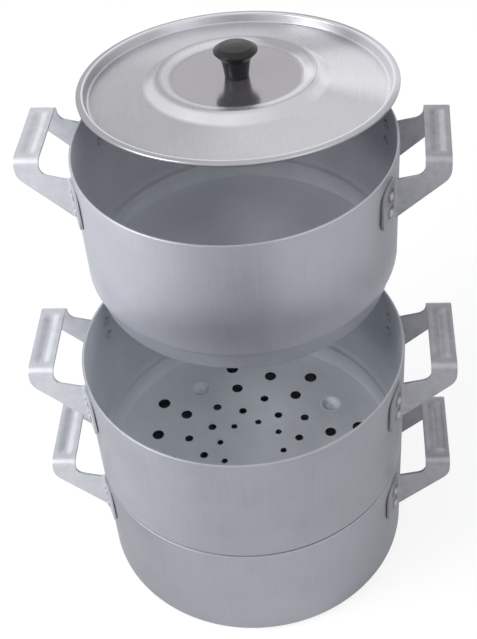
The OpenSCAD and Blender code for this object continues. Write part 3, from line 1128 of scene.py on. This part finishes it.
@dataclass(frozen=True)
class StrapHandle:
    """A handle folded from one strap: a flat grip, two legs and two tabs that follow the wall."""

    strip: float = 2.0
    grip_half: float = 38.5
    grip_in: float = 148.5
    grip_out: float = 168.5
    grip_rows: int = 29
    rise: float = 7.0
    bend_r: float = 7.0
    bend_rows: int = 6
    inner_r: float = 8.0
    inner_turn: float = 75.0
    outer_r: float = 16.0
    arc_rows: int = 9
    leg_top: float = 12.0
    leg_ease: float = 0.6
    leg_bottom: float = 47.0
    leg_gap: float = 2.24
    leg_rows: int = 8
    corner_drop: float = 9.0
    fold_r: float = 3.0
    fold_rows: int = 5
    tab_end: float = 60.5
    tab_lift: float = 0.7
    tab_lift_share: float = 6.0
    tab_top: float = 8.0
    tab_top_r: float = 13.2
    tab_bottom: float = 48.0
    tab_bottom_r: float = 8.8
    tab_rows: int = 20
    wall_mid_r: float = WALL_R + 1.08
    groove_half: float = 22.0
    groove_flat: float = 1.1
    groove_reach: float = 6.5
    groove_depth: float = 1.6
    edge_w: float = 0.4
    across: int = 20

    def rows(self) -> list[Row]:
        """Rows of the strap's middle surface, from the middle of the grip to the end of one tab.

        Returns:
            The upper and lower end of each row, in millimetres, with heights from the rim.
        """
        half_t = self.strip / 2
        mid_r, flat = self.bend_r - half_t, self.grip_half - self.bend_r
        line = [(flat * i / self.grip_rows, self.rise - half_t) for i in range(self.grip_rows + 1)]
        for i in range(1, self.bend_rows + 1):
            a = math.radians(90.0 * i / self.bend_rows)
            line.append((flat + mid_r * math.sin(a), self.rise - self.bend_r + mid_r * math.cos(a)))
        rows = [(Vector((self.grip_in, y, z)), Vector((self.grip_out, y, z))) for y, z in line]
        return rows + self._leg_rows(self.grip_half - half_t) + self._tab_rows(self.grip_half - half_t)

    def _leg_rows(self, y: float) -> list[Row]:
        """Rows of a leg, in its plane.

        Args:
            y: Where its plane is.

        Returns:
            The rows, from the grip's bend to the fold at the wall.
        """
        reach = self.grip_out - self.wall_mid_r + self.strip / 2
        slope = math.atan2(self.leg_bottom - self.corner_drop, reach)
        turn = 90.0 - math.degrees(slope)
        corner_z = self.outer_r * math.tan(math.radians(turn / 2)) - self.corner_drop
        inner_z = self.inner_r * 0.75 - self.leg_top / 2
        inner_x, outer_x = self.grip_in - self.inner_r, self.grip_out - self.outer_r
        top = arc_points((inner_x, inner_z), self.inner_r, 0.0, -self.inner_turn, self.arc_rows)
        low = arc_points((outer_x, corner_z), self.outer_r, 0.0, -turn, self.arc_rows)
        rows = [(Vector((a[0], y, a[1])), Vector((b[0], y, b[1]))) for a, b in zip(top, low)]
        wall_x = math.sqrt(self.wall_mid_r ** 2 - y * y) + self.leg_gap
        low_z = low[-1][1] - (low[-1][0] - wall_x) * math.tan(slope)
        top_end = Vector((wall_x, y, self.leg_ease - self.leg_top))
        low_end = Vector((wall_x, y, max(low_z, -self.tab_bottom)))
        top_start, low_start = rows[-1]
        for i in range(1, self.leg_rows + 1):
            share = i / self.leg_rows
            rows.append((top_start.lerp(top_end, share), low_start.lerp(low_end, share)))
        return rows

    def _tab_rows(self, y: float) -> list[Row]:
        """Rows of the fold into a tab, and of the tab along the wall.

        Args:
            y: Where the leg's plane is.

        Returns:
            The rows, from the leg to the tab's free end.
        """
        mid = self.wall_mid_r
        start = math.asin(y / mid)
        turn = math.pi / 2 - start
        wall_x = mid * math.cos(start) + self.fold_r * math.tan(turn / 2)
        leg_top = self.leg_top - self.leg_ease
        rows: list[Row] = []
        for i in range(1, self.fold_rows + 1):
            share = i / self.fold_rows
            a = -math.pi / 2 - turn * share
            at = wall_x + self.fold_r * math.cos(a), y + self.fold_r * (1.0 + math.sin(a))
            top = (leg_top - self.tab_top) * share - leg_top
            rows.append((Vector((*at, top)), Vector((*at, -self.tab_bottom))))
        first = math.atan2(rows[-1][0].y, rows[-1][0].x)
        last = math.asin(self.tab_end / mid)
        for i in range(1, self.tab_rows + 1):
            a = first + (last - first) * math.sin(math.pi / 2 * i / self.tab_rows)
            near_end = mid * math.sin(a) / self.tab_end * self.tab_lift_share - self.tab_lift_share + 1.0
            out = mid + self.tab_lift * max(0.0, near_end) ** 2
            x, aside = out * math.cos(a), out * math.sin(a)
            top = self._rounded(aside, self.tab_top_r) - self.tab_top
            low = -self._rounded(aside, self.tab_bottom_r) - self.tab_bottom
            rows.append((Vector((x, aside, top)), Vector((x, aside, low))))
        return rows

    def _rounded(self, aside: float, radius: float) -> float:
        """How far a tab's edge lies back at its rounded corner.

        Args:
            aside: A place along the wall.
            radius: The corner's radius.

        Returns:
            The distance, less than zero, or zero before the corner.
        """
        over = aside - (self.tab_end - radius)
        if over <= 0.0:
            return 0.0
        return math.sqrt(max(radius * radius - over * over, 0.0)) - radius

    def make(self, rivets: RivetSet) -> Piece:
        """Fold the strap, press its groove, and give it thickness, rounded edges and bores.

        Args:
            rivets: The rivets that hold it.

        Returns:
            The handle on the right, with heights from the rim.
        """
        name = "strap pattern"
        strap = Bench.lofted(name, [(low * MM, high * MM) for low, high in self.rows()], self.across)
        self._press_groove(strap)
        mirror = strap.modifiers.new("Other half", "MIRROR")
        mirror.use_axis = (False, True, False)
        mirror.merge_threshold = WELD * 10
        thick = strap.modifiers.new("Strip", "SOLIDIFY")
        thick.thickness = self.strip * MM
        thick.offset = 0.0
        thick.use_even_offset = True
        edge = strap.modifiers.new("Edges", "BEVEL")
        edge.width = self.edge_w * MM
        edge.segments = 2
        edge.limit_method = "ANGLE"
        edge.angle_limit = math.radians(55.0)
        Bench.apply(strap)
        Bench.edit(strap)
        Bench.weld()
        strap = Bench.close(name)
        Bench.combine(strap, rivets.bores(Matrix.Identity(4)), "DIFFERENCE")
        Bench.smooth(strap, 35.0)
        return strap

    def _press_groove(self, strap: Piece) -> None:
        """Press a groove along the grip, with sloping sides and ends.

        Args:
            strap: Half of the strap's middle surface.
        """
        mesh = Bench.edit(strap)
        middle = (self.grip_in + self.grip_out) / 2 * MM
        level = (self.rise - self.strip / 2) * MM
        for vert in mesh.verts:
            near = abs(vert.co.x - middle) < self.groove_flat * MM and abs(vert.co.z - level) < WELD
            vert.select_set(near and vert.co.y < self.groove_half * MM)
        mesh.select_flush_mode()
        bmesh.update_edit_mesh(strap.data)
        bpy.ops.transform.translate(
            value=(0.0, 0.0, -self.groove_depth * MM),
            use_proportional_edit=True,
            proportional_edit_falloff="LINEAR",
            proportional_size=self.groove_reach * MM,
        )
        Bench.close(strap.name)


@dataclass(frozen=True)
class Lid:
    """The pressed lid with its turned knob."""

    centre: Vector
    tilt: float = 6.0
    edge_r: float = 133.5
    edge_drop: float = 3.2
    top_r: float = 132.5
    sheet: float = 1.0
    steps: int = 224
    corners: Sequence[Corner] = (
        Corner(2.8, 3.0), Corner(54.0, 3.0, 1.5), Corner(58.6, 5.4, 2.4), Corner(67.5, 6.6, 4.5),
        Corner(77.5, -1.4, 9.0), Corner(123.6, -8.0, 2.0), Corner(125.6, -7.9, 1.2), Corner(127.6, -0.5, 1.2),
        Corner(133.0, -0.5, 1.3), Corner(133.0, -2.7),
    )
    knob_seat: float = 3.58
    knob_corners: Sequence[Corner] = (
        Corner(0.0, 12.3), Corner(4.1, 12.3), Corner(4.1, 0.0), Corner(9.9, 0.0, 0.5),
        Corner(10.9, 8.0, 30.0), Corner(12.4, 15.6, 0.6), Corner(13.0, 16.1, 0.5), Corner(18.2, 22.0, 0.7),
        Corner(18.2, 23.4, 0.6), Corner(13.6, 26.3, 1.4), Corner(4.0, 27.3, 8.0), Corner(0.0, 27.3),
    )

    @classmethod
    def within(cls, low: Vector, high: Vector) -> "Lid":
        """Set the slanting lid into its box.

        Args:
            low: The box's lowest corner.
            high: Its highest corner.

        Returns:
            The lid.
        """
        lean = math.radians(cls.tilt)
        back = (cls.edge_r * math.cos(lean) + cls.edge_drop * math.sin(lean)) * MM
        down = cls.top_r * math.sin(lean) * MM
        return cls(Vector(((low.x + high.x) / 2, low.y + back, high.z - down)))

    def where(self) -> Matrix:
        """The lid's place."""
        return Matrix.Translation(self.centre) @ Matrix.Rotation(math.radians(-self.tilt), 4, "X")

    def make_sheet(self) -> Piece:
        """Turn the lid's sheet, with its screw hole open.

        Returns:
            The sheet, in place.
        """
        section = sheet_section(filleted(self.corners, 8), self.sheet * MM)
        section.append(section[0])
        lid = Bench.turned("lid.sheet", section, self.steps)
        Bench.place(lid, self.where())
        Bench.smooth(lid, 40.0)
        return lid

    def make_knob(self) -> Piece:
        """Turn the knob: a flared neck under a bevelled cap, bored for its bush.

        Returns:
            The knob, in place.
        """
        knob = Bench.turned("lid_knob.turned", filleted(self.knob_corners, 5), 96)
        Bench.place(knob, self.where() @ Matrix.Translation((0.0, 0.0, self.knob_seat * MM)))
        Bench.smooth(knob, 30.0)
        return knob


# The whole pot


@dataclass(frozen=True)
class Perforation:
    """Rings of steam holes in the tier's floor."""

    pitch: float = 14.2
    rings: Sequence[float] = (2.0, 3.0, 4.0, 5.0, 6.0, 6.8)
    diameters: Sequence[float] = (5.5, 7.0, 7.3, 9.7, 10.4, 11.0)
    turn: float = 35.6
    per_ring: int = 8
    foot_ring: int = 4

    def holes(self) -> list[Spot]:
        """Lay out the steam holes.

        Returns:
            The radius and angle of every hole's place, and its own radius.
        """
        return [
            (self.pitch * share, self._angle(ring, number), diameter / 2)
            for ring, (share, diameter) in enumerate(zip(self.rings, self.diameters))
            for number in range(self.per_ring) if ring != self.foot_ring or number % 2
        ]

    def feet(self) -> list[Point]:
        """Radius and angle of every pressed foot."""
        share = self.rings[self.foot_ring]
        return [(self.pitch * share, self._angle(self.foot_ring, n)) for n in range(0, self.per_ring, 2)]

    def _angle(self, ring: int, number: int) -> float:
        """Angle of one place in one ring."""
        return self.turn + (number + (ring % 2) / 2) * 360.0 / self.per_ring


class SteamerPot:
    """The whole stack, dressed body by body."""

    plain_corners = (Corner(0.0, 1.0), Corner(129.0, 1.0, 6.0), Corner(129.0, 106.0))
    tier_corners = (
        Corner(0.0, 1.0), Corner(123.0, 1.0, 2.0), Corner(123.0, 19.0, 1.2), Corner(129.0, 19.0, 4.8),
        Corner(129.0, 132.0),
    )
    # Painted highlights and painted shade along the lid's pressed steps, some only on one side
    lid_painted_rings = (
        PaintedRing(73.0, 6.0, 0.5, PaintedSheen(222.0, 90.0)), PaintedRing(73.0, 5.0, 0.3, PaintedSheen(352.0, 34.0)),
        PaintedRing(73.0, 6.0, -0.4, PaintedSheen(85.0, 60.0)), PaintedRing(59.5, 4.5, 0.3),
        PaintedRing(61.0, 6.0, -0.7, PaintedSheen(40.0, 50.0)), PaintedRing(54.3, 0.8, -0.7), PaintedRing(65.8, 1.2, -0.35),
        PaintedRing(124.2, 1.1, 0.5), PaintedRing(128.4, 0.9, 0.8), PaintedRing(131.8, 3.0, -0.3),
    )

    def __init__(self) -> None:
        """Place every sub-assembly by the CAD frame."""
        pattern = Perforation()
        base_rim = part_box("base_pot")[1].z
        tier_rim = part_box("steamer_tier")[1].z
        low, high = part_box("upper_pot")
        # Each vessel's sheens are painted highlights, and painted shade where their gain is below zero; the
        # upper pot's fade paints light onto its lower wall
        self.vessels = [
            Vessel("base", "base_pot", self.plain_corners, base_rim, ORIGIN,
                   sheens=(PaintedSheen(275.0, 50.0, 0.1), PaintedSheen(200.0, 70.0, -0.12))),
            Vessel("tier", "steamer_tier", self.tier_corners, tier_rim, ORIGIN,
                   holes=pattern.holes(), feet=pattern.feet(), sheens=(PaintedSheen(212.0, 50.0, 0.15),)),
            Vessel("upper", "upper_pot", self.tier_corners, high.z, (low + high) / 2, turn=-2.0,
                   sheens=(PaintedSheen(214.0, 62.0, 0.5), PaintedSheen(262.0, 30.0, -0.14), PaintedSheen(306.0, 28.0, 0.3)),
                   fade=(50.0, 4.0, 0.64)),
        ]
        self.lid = Lid.within(*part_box("lid"))
        self.rivets = RivetSet()
        # Painted shade on the walls of the steam holes
        self.hole_shade = Aluminium("steam hole painted shade", Tone.CUT, 0.6, Grain.SPUN, metal=0.3).material()

    @staticmethod
    def strap_finish(vessel: Vessel, side: str) -> Finish:
        """Build the finish of one strap handle, painted lit on the left and painted shaded on the right.

        Args:
            vessel: The vessel that carries it.
            side: Its side.

        Returns:
            The material.
        """
        return StrapAluminium(
            f"{vessel.body} {side} strap aluminium", Tone[f"STRAP_{side.upper()}"], 0.42, Grain.ROLLED,
            level=0.45, streaks=0.25, clouds=0.6, depth=0.12, dents=0.5,
            grip_x=StrapAluminium.grip_x * (-1.0 if side == "left" else 1.0),
            centre=vessel.rim, turn=Vector((0.0, 0.0, math.radians(vessel.turn))),
        ).material()

    @staticmethod
    def head_finish(vessel: Vessel, side: str) -> Finish:
        """Build the finish of one handle's rivets, painted lit on the left and painted shaded on the right.

        Args:
            vessel: The vessel that carries them.
            side: Their side.

        Returns:
            The material.
        """
        return RivetAluminium(
            f"{vessel.body} {side} rivet aluminium", Tone[f"RIVET_{side.upper()}"], 0.36, Grain.SPUN,
            metal=0.5, level=0.75, depth=0.05, dents=0.5,
            centre=vessel.rim, turn=Vector((0.0, 0.0, math.radians(vessel.turn))),
        ).material()

    def dress_vessel(self, vessel: Vessel, strap: Piece, heads: Piece) -> None:
        """Make a vessel's sheet, and set it, its handles and its rivets on their body.

        Args:
            vessel: The vessel.
            strap: The strap handle that its handles are copied from.
            heads: The rivets that its rivets are copied from.
        """
        axis = vessel.where().translation
        wall = Aluminium(
            f"{vessel.body} spun aluminium", Tone.WALL, 0.42, Grain.DRAWN,
            level=0.36, fade=vessel.fade, sheens=vessel.sheens, centre=axis,
        )
        lining = FloorAluminium if vessel.feet else Aluminium
        # The inside's fade paints light onto the floor, and its sheen paints shade on the right side
        inside = lining(
            f"{vessel.body} matt inside", Tone.LINING, 0.55, Grain.SPUN, metal=0.1, level=0.5,
            fade=(30.0, 4.0, 0.4), sheens=(PaintedSheen(350.0, 80.0, -0.5),), centre=axis,
        )
        shell = vessel.make_shell(self.rivets)
        settle(shell, wall.material(), vessel.body, vessel.shell)
        line_inside(shell, (inside.material(), self.hole_shade), axis)
        for side in SIDES:
            for pattern, kind, word, slot, finish in (
                (strap, "handle", "strap", "handle_strip", self.strap_finish(vessel, side)),
                (heads, "rivets", "heads", "rivet", self.head_finish(vessel, side)),
            ):
                node = f"{vessel.body}_{kind}_{side}"
                piece = Bench.copy(pattern, f"{node}.{word}")
                Bench.place(piece, vessel.handle_place(side))
                settle(piece, finish, vessel.body, node)

    def dress_lid(self) -> None:
        """Make the lid and its knob, and give the hidden fasteners their finish."""
        # The lid's sheens are painted reflections, and its rings painted highlights and painted shade along
        # the pressed steps
        bright = LidAluminium(
            "lid bright aluminium", Tone.LID, 0.3, Grain.ROLLED,
            metal=0.85, level=0.12, streaks=0.25, clouds=0.2,
            sheens=(PaintedSheen(12.0, 32.0, 0.65), PaintedSheen(308.0, 72.0, 0.34), PaintedSheen(112.0, 56.0, 0.28)),
            rings=self.lid_painted_rings, centre=self.lid.centre,
            turn=Vector((math.radians(-self.lid.tilt), 0.0, 0.0)),
        )
        settle(self.lid.make_sheet(), bright.material(), "cover", "lid")
        black = Moulded("knob black moulding", (0.008, 0.008, 0.009), 0.26)
        settle(self.lid.make_knob(), black.material(), "cover", "lid_knob")
        centre = self.lid.centre
        steel = Aluminium("plated steel", Tone.STEEL, 0.3, Grain.SPUN, centre=centre).material()
        brass = Aluminium("turned brass", Tone.BRASS, 0.28, Grain.SPUN, centre=centre).material()
        for node, material in (("knob_screw", steel), ("knob_washer", steel), ("knob_bush", brass)):
            paint(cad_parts[node], material)
            log.info("%s keeps its CAD shape", node)

    def dress(self) -> None:
        """Dress the whole pot."""
        strap, heads = StrapHandle().make(self.rivets), self.rivets.make()
        for vessel in self.vessels:
            self.dress_vessel(vessel, strap, heads)
        for pattern in (strap, heads):
            bpy.data.objects.remove(pattern)
        self.dress_lid()


def paint(obj: Piece, material: Finish) -> None:
    """Give an object one material."""
    obj.data.materials.clear()
    obj.data.materials.append(material)


def line_inside(shell: Piece, finishes: Sequence[Finish], axis: Vector) -> None:
    """Give a vessel's inside its finish, and the walls of its steam holes painted shade.

    Args:
        shell: The vessel's sheet.
        finishes: The finish of its inside and the painted shade of its holes.
        axis: A point on the vessel's axis.
    """
    for finish in finishes:
        shell.data.materials.append(finish)
    below_rim = max(vert.co.z for vert in shell.data.vertices) - 5.0 * MM
    hole_reach = 112.0 * MM
    for face in shell.data.polygons:
        out = Vector((face.center.x - axis.x, face.center.y - axis.y, 0.0))
        floor = face.normal.z > 0.5 and face.center.z < below_rim
        # Steam hole walls get the painted shade
        if abs(face.normal.z) < 0.3 and out.length < hole_reach:
            face.material_index = 2
        elif face.normal.dot(out.normalized()) < -0.2 or floor:
            face.material_index = 1


def settle(piece: Piece, material: Finish, body: str, node: str) -> None:
    """Finish a piece: its material, the body it rides on and the CAD node it stands for.

    Args:
        piece: The new piece.
        material: Its material.
        body: The CAD body that carries it.
        node: The CAD node that it replaces.
    """
    paint(piece, material)
    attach(piece, body)
    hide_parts(node)
    log.info("%s: %d faces, rides on %s", piece.name, len(piece.data.polygons), body)


# Studio


@dataclass(frozen=True)
class Softbox:
    """A soft studio lamp."""

    name: str
    at: Spot
    size: float
    watts: float
    aim: Spot = (0.0, 0.05, 0.2)

    def make(self) -> None:
        """Hang the lamp and aim it at the pot."""
        data = bpy.data.lights.new(self.name, "AREA")
        data.shape = "DISK"
        data.size = self.size
        data.energy = self.watts
        lamp = bpy.data.objects.new(self.name, data)
        lamp.location = self.at
        lamp.rotation_euler = (Vector(self.aim) - Vector(self.at)).to_track_quat("-Z", "Y").to_euler()
        bpy.context.scene.collection.objects.link(lamp)


class Studio:
    """A pale floor, soft light and the photograph's camera."""

    lamps = (
        Softbox("key softbox", (-2.0, -0.9, 1.7), 1.6, 40.0),
        Softbox("fill softbox", (1.9, -1.5, 1.7), 1.8, 8.0),
    )
    eye = Vector((77.5, -709.7, 933.6)) * MM
    right = Vector((0.9967, 0.0478, -0.0652))
    up = Vector((0.0135, 0.6972, 0.7167))
    ahead = Vector((-0.0797, 0.7153, -0.6943))
    lens = 70.55
    floor_size = 14.0
    floor_gap = 0.2 * MM

    def make_camera(self) -> None:
        """Stand the camera where the photograph was taken from."""
        data = bpy.data.cameras.new("photo camera")
        data.sensor_width = 36.0
        data.lens = self.lens
        data.clip_start, data.clip_end = 0.01, 100.0
        camera = bpy.data.objects.new("photo camera", data)
        axes = Matrix((self.right, self.up, -self.ahead)).transposed()
        camera.matrix_world = Matrix.Translation(self.eye) @ axes.to_4x4()
        bpy.context.scene.collection.objects.link(camera)
        bpy.context.scene.camera = camera

    def make_floor(self) -> None:
        """Lay the floor, white to the eye with the pot's shadow kept."""
        Bench.clear()
        bpy.ops.mesh.primitive_plane_add(size=self.floor_size, location=(0.0, 0.0, -self.floor_gap))
        floor = bpy.context.view_layer.objects.active
        floor.name = "floor"
        graph = Graph(bpy.data.materials.new("studio floor"))
        x, y, z = graph.place()
        mottle = graph.noise((x * 3.0, y * 3.0, z), 2.0, 0.5)
        colour = graph.mix(mottle, (0.9, 0.9, 0.9, 1.0), (0.92, 0.92, 0.92, 1.0))
        matt = graph.add("ShaderNodeBsdfDiffuse", links={"Color": colour})
        glow = graph.add("ShaderNodeEmission", links={"Color": (1.0, 1.0, 1.0, 1.0), "Strength": 1.13})
        share = graph.add("ShaderNodeLightPath", output="Is Camera Ray") * 0.7
        mixed = graph.add("ShaderNodeMixShader", links={0: share, 1: matt, 2: glow})
        graph.add("ShaderNodeOutputMaterial", links={"Surface": mixed})
        paint(floor, graph.owner)

    def make_world(self) -> None:
        """Fill the room with even light, white where it is seen."""
        world = bpy.data.worlds.new("studio")
        bpy.context.scene.world = world
        graph = Graph(world)
        camera, glossy, passing = (
            graph.add("ShaderNodeLightPath", output=f"Is {ray} Ray")
            for ray in ("Camera", "Glossy", "Transmission")
        )
        dim, white = (
            graph.add("ShaderNodeBackground", links={"Color": colour, "Strength": strength})
            for colour, strength in (((0.97, 0.98, 1.0, 1.0), 0.6), ((1.0, 1.0, 1.0, 1.0), 1.0))
        )
        seen = camera.larger(glossy).larger(passing)
        mixed = graph.add("ShaderNodeMixShader", links={0: seen, 1: dim, 2: white})
        graph.add("ShaderNodeOutputWorld", links={"Surface": mixed})

    def make(self) -> None:
        """Set up the whole studio."""
        self.make_camera()
        self.make_floor()
        self.make_world()
        for lamp in self.lamps:
            lamp.make()
        bpy.context.scene.view_settings.view_transform = "Standard"


def main() -> None:
    """Dress the pot and set up the studio."""
    logging.basicConfig(level=logging.INFO, format="%(message)s")
    Bench.clear()
    Studio().make()
    SteamerPot().dress()
    Bench.clear()
    bpy.context.view_layer.update()


if __name__ == "__main__":
    main()
